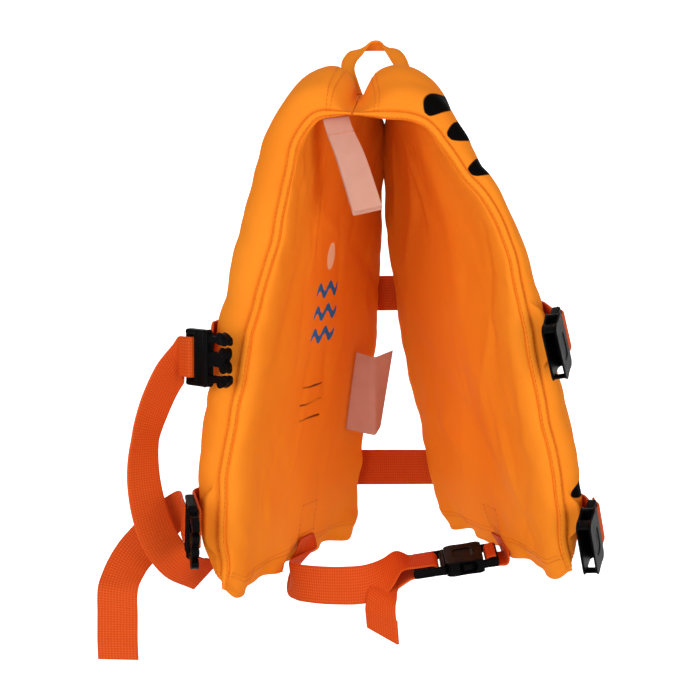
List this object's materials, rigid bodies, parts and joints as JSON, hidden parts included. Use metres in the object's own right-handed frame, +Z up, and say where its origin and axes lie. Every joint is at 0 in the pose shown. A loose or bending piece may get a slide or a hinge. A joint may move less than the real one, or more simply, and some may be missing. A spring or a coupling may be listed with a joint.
{
  "type": "swim vest",
  "caption": "Child's padded foam swim vest hung open by its grab loop, with webbing belts, side-release buckles and a fastened crotch strap.",
  "frame": {"origin": "underside of the top of the grab loop at the back of the neck, where a hook or a finger carries the vest", "axes": "+Z up along the hanging vest, +X from the front panel towards the back panel, -Y towards the unbuckled side"},
  "size_m": [0.3124, 0.2994, 0.3905],
  "materials": {
    "orange_cloth": "smooth woven cover cloth over foam",
    "orange_webbing": "ribbed woven webbing",
    "black_plastic": "satin moulded",
    "label_cloth": "smooth woven ribbon"
  },
  "bodies": {
    "root": {"front_panel": "orange_cloth", "back_panel": "orange_cloth", "grab_loop": "orange_cloth", "upper_belt": "orange_webbing", "lower_belt": "orange_webbing", "crotch_strap_front": "orange_webbing", "crotch_strap_back": "orange_webbing", "upper_male_buckle": "black_plastic", "lower_male_buckle": "black_plastic", "crotch_male_buckle": "black_plastic", "upper_female_buckle": "black_plastic", "lower_female_buckle": "black_plastic", "crotch_female_buckle": "black_plastic", "neck_label": "label_cloth", "side_label": "label_cloth"}
  },
  "joints": []
}
